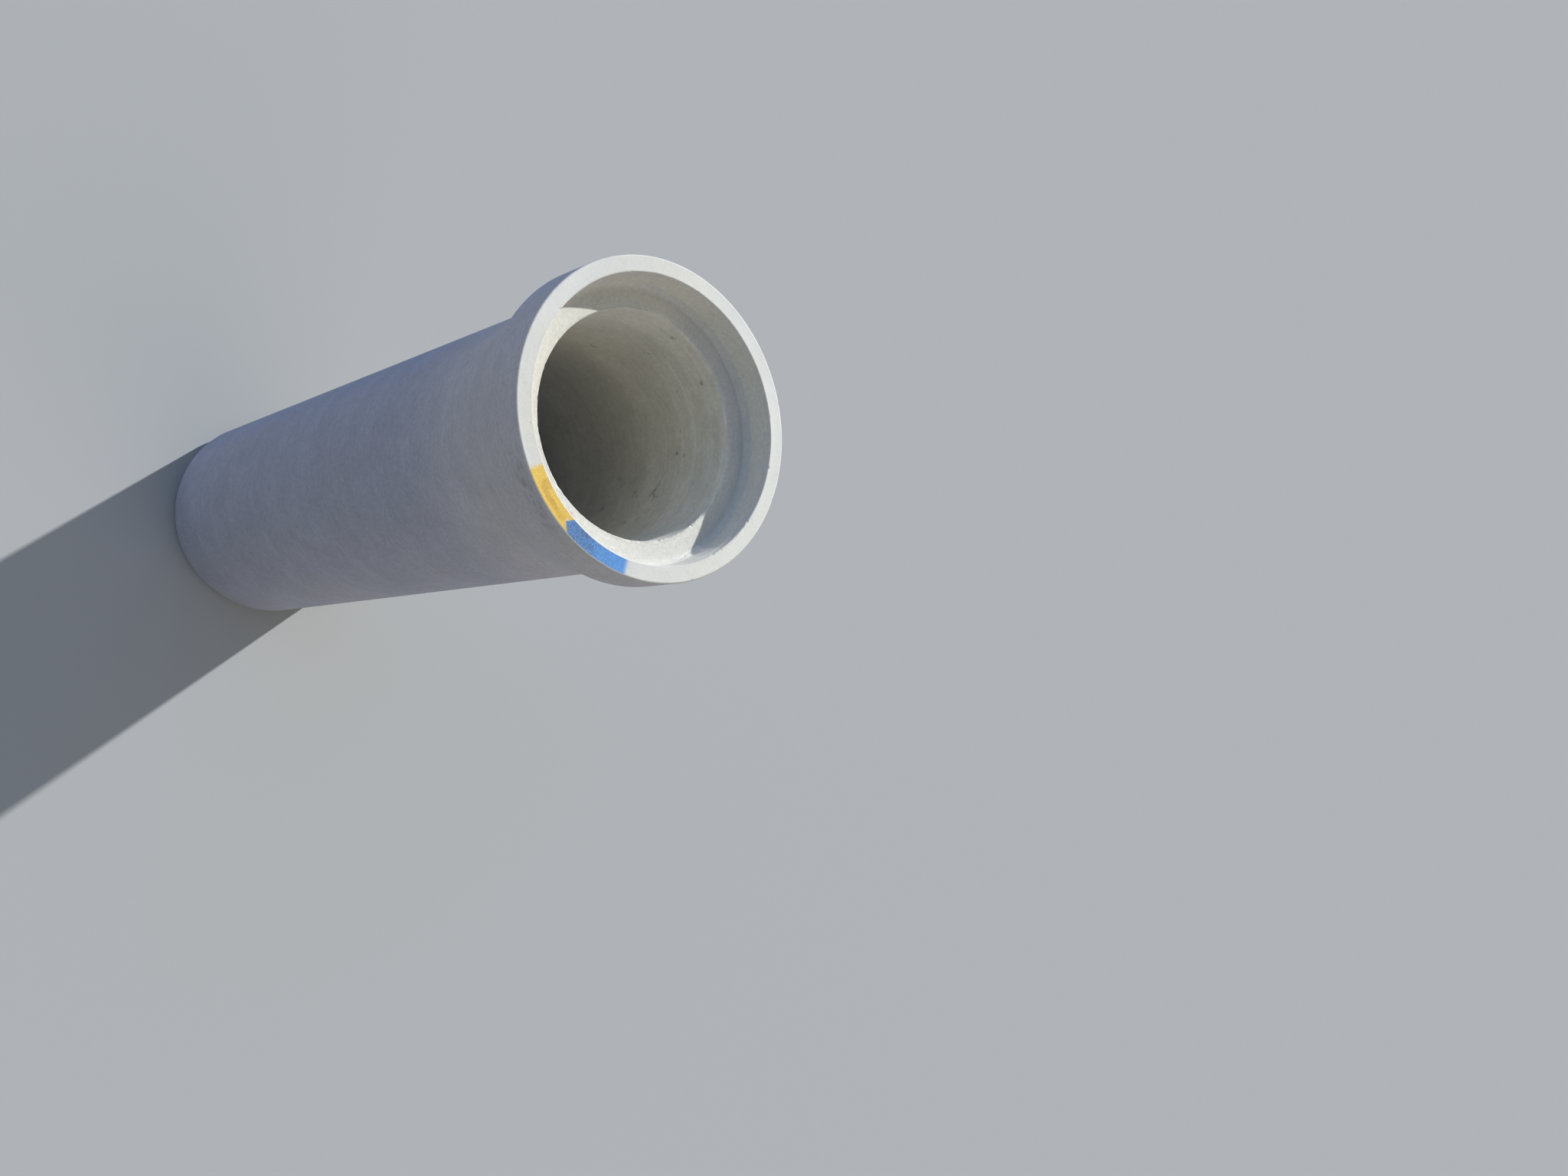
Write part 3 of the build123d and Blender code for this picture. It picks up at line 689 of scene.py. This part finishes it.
dust = g.mul(g.band(T, -58.4, -56.0, 1.2), g.ramp(mottle, 0.34, 0.58), on_face, 0.16)    # thin overspray past the blue's end
colour = g.mix(g.mul(dust, g.inv(blue_mask)), colour, (0.17, 0.30, 0.50))
pink = g.mul(g.m("MAXIMUM", g.spot(TR, (-31.7, 318.5), (1.5, 8.0), 0.9), g.mul(g.spot(TR, (-30.5, 325.0), (4.6, 13.0), 0.95), 0.34)), shoulder)
colour = g.mix(g.mul(pink, 0.9), colour, (0.535, 0.300, 0.320))

bsdf = g.new("ShaderNodeBsdfPrincipled")
g.put(bsdf.inputs["Base Color"], colour)
paint = g.m("MAXIMUM", yellow_mask, blue_mask)
rough = g.m("MULTIPLY_ADD", paint, -0.22, g.m("MULTIPLY_ADD", patch, 0.14, 0.78))
g.put(bsdf.inputs["Roughness"], rough)
bsdf.inputs["Specular IOR Level"].default_value = 0.35

height = g.add(g.mul(sand, 0.30), g.mul(speck, 0.55), g.mul(hoop_fine, g.m("MULTIPLY_ADD", outer, 0.45, 0.06)),
               g.mul(ring, g.mul(shoulder, 0.35)), g.mul(hoop_mid, g.m("MULTIPLY_ADD", near_socket, 0.35, 0.2)),
               g.mul(blot, 0.8), g.mul(holes, -2.4))
bp = g.new("ShaderNodeBump")
bp.inputs["Strength"].default_value = 0.75
bp.inputs["Distance"].default_value = 0.0007
g.put(bp.inputs["Height"], height)
g.put(bsdf.inputs["Normal"], bp.outputs[0])
out = g.new("ShaderNodeOutputMaterial")
g.put(out.inputs["Surface"], bsdf.outputs[0])
mesh.materials.append(concrete)

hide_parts("concrete_pipe")
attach(pipe, "root")

# --------------------------------------------------------------------------
# floor, light, camera
# --------------------------------------------------------------------------
ring_pts = [(70.0 * math.cos(a), 70.0 * math.sin(a), -0.0004) for a in np.linspace(0, 2 * math.pi, 128, endpoint=False)]
fm = bpy.data.meshes.new("floor")
fm.from_pydata(ring_pts, [], [tuple(range(128))])
floor = bpy.data.objects.new("floor", fm)
bpy.context.scene.collection.objects.link(floor)
floor_mat, fg = material("floor")
fd = fg.new("ShaderNodeBsdfDiffuse")
fd.inputs["Color"].default_value = (0.330, 0.336, 0.346, 1)
fg.put(fg.new("ShaderNodeOutputMaterial").inputs["Surface"], fd.outputs[0])
fm.materials.append(floor_mat)

# soft light all round, by height above the horizon: pale low down, deeper above, clear again towards the top
BANDS = [(0.430, 0.448, 0.476), (0.222, 0.314, 0.358), (0.440, 0.413, 0.316), (0.155, 0.222, 0.228)]
STEPS = [(0.10, 0.42), (0.50, 0.70), (0.82, 0.94)]
world = bpy.data.worlds.new("studio")
bpy.context.scene.world = world
world.use_nodes = True
wg = Nodes(world.node_tree)
towards = wg.new("ShaderNodeTexCoord").outputs["Generated"]
wsep = wg.new("ShaderNodeSeparateXYZ")
wg.put(wsep.inputs[0], towards)
sky = BANDS[0]
for (z0, z1), shade in zip(STEPS, BANDS[1:]):
    sky = wg.mix(wg.ramp(wsep.outputs[2], z0, z1), sky, shade)
bg = wg.new("ShaderNodeBackground")
wg.put(bg.inputs["Color"], sky)
wg.put(wg.new("ShaderNodeOutputWorld").inputs["Surface"], bg.outputs[0])


def sun(name, clock, elevation, power, colour, angle):
    """A lamp that shines from a clock angle and an elevation."""
    lamp = bpy.data.lights.new(name, "SUN")
    lamp.energy, lamp.color, lamp.angle = power, colour, math.radians(angle)
    o = bpy.data.objects.new(name, lamp)
    bpy.context.scene.collection.objects.link(o)
    c, e = math.radians(clock), math.radians(elevation)
    to = Vector(((F2 * math.cos(c) + F3 * math.sin(c)) * math.cos(e)).tolist())
    to.z = math.sin(e)
    o.rotation_euler = to.to_track_quat("Z", "Y").to_euler()
    o.location = to * 8
    return o


sun("key", 162.7, 28.8, 5.5, (1.0, 1.0, 0.975), 1.2)
sun("low_fill", -100.0, 38.0, 0.72, (1.0, 0.86, 0.82), 60.0)
sun("cool_side", 85.0, 25.0, 0.85, (0.07, 0.32, 1.0), 90.0)

# camera: the photograph's place relative to the pipe, its axis towards the floor
FOCAL_PX = 1741.08
CAM_C = np.array([-0.748874, -1.021717, 8.071249]) * 0.416     # mouth's centre, camera axes (right, down, ahead)
CAM_N = np.array([-0.673826, 0.060250, 0.736430])              # pipe's axis, mouth to spigot
CAM_N /= np.linalg.norm(CAM_N)
side = CAM_C - (CAM_C @ CAM_N) * CAM_N
E2 = -side / np.linalg.norm(side)
E3 = np.cross(CAM_N, E2)
F1 = np.array([0.0, 0.0, -1.0])
TO_ROW = np.stack([F1, F2, F3], 1) @ np.stack([CAM_N, E2, E3], 0)
place = np.array([0.0, 0.0, LENGTH / 1000.0]) - TO_ROW @ CAM_C
cam = bpy.data.cameras.new("camera")
cam.sensor_width = 36.0
cam.lens = 36.0 * FOCAL_PX / 2048.0
cam.clip_end = 300.0
cam_obj = bpy.data.objects.new("camera", cam)
bpy.context.scene.collection.objects.link(cam_obj)
ax, ay, az = TO_ROW @ np.array([1.0, 0, 0]), TO_ROW @ np.array([0, -1.0, 0]), TO_ROW @ np.array([0, 0, -1.0])
m = Matrix.Identity(4)
for i in range(3):
    m[i][0], m[i][1], m[i][2], m[i][3] = ax[i], ay[i], az[i], place[i]
cam_obj.matrix_world = m
bpy.context.scene.camera = cam_obj

bpy.context.scene.view_settings.view_transform = "Standard"
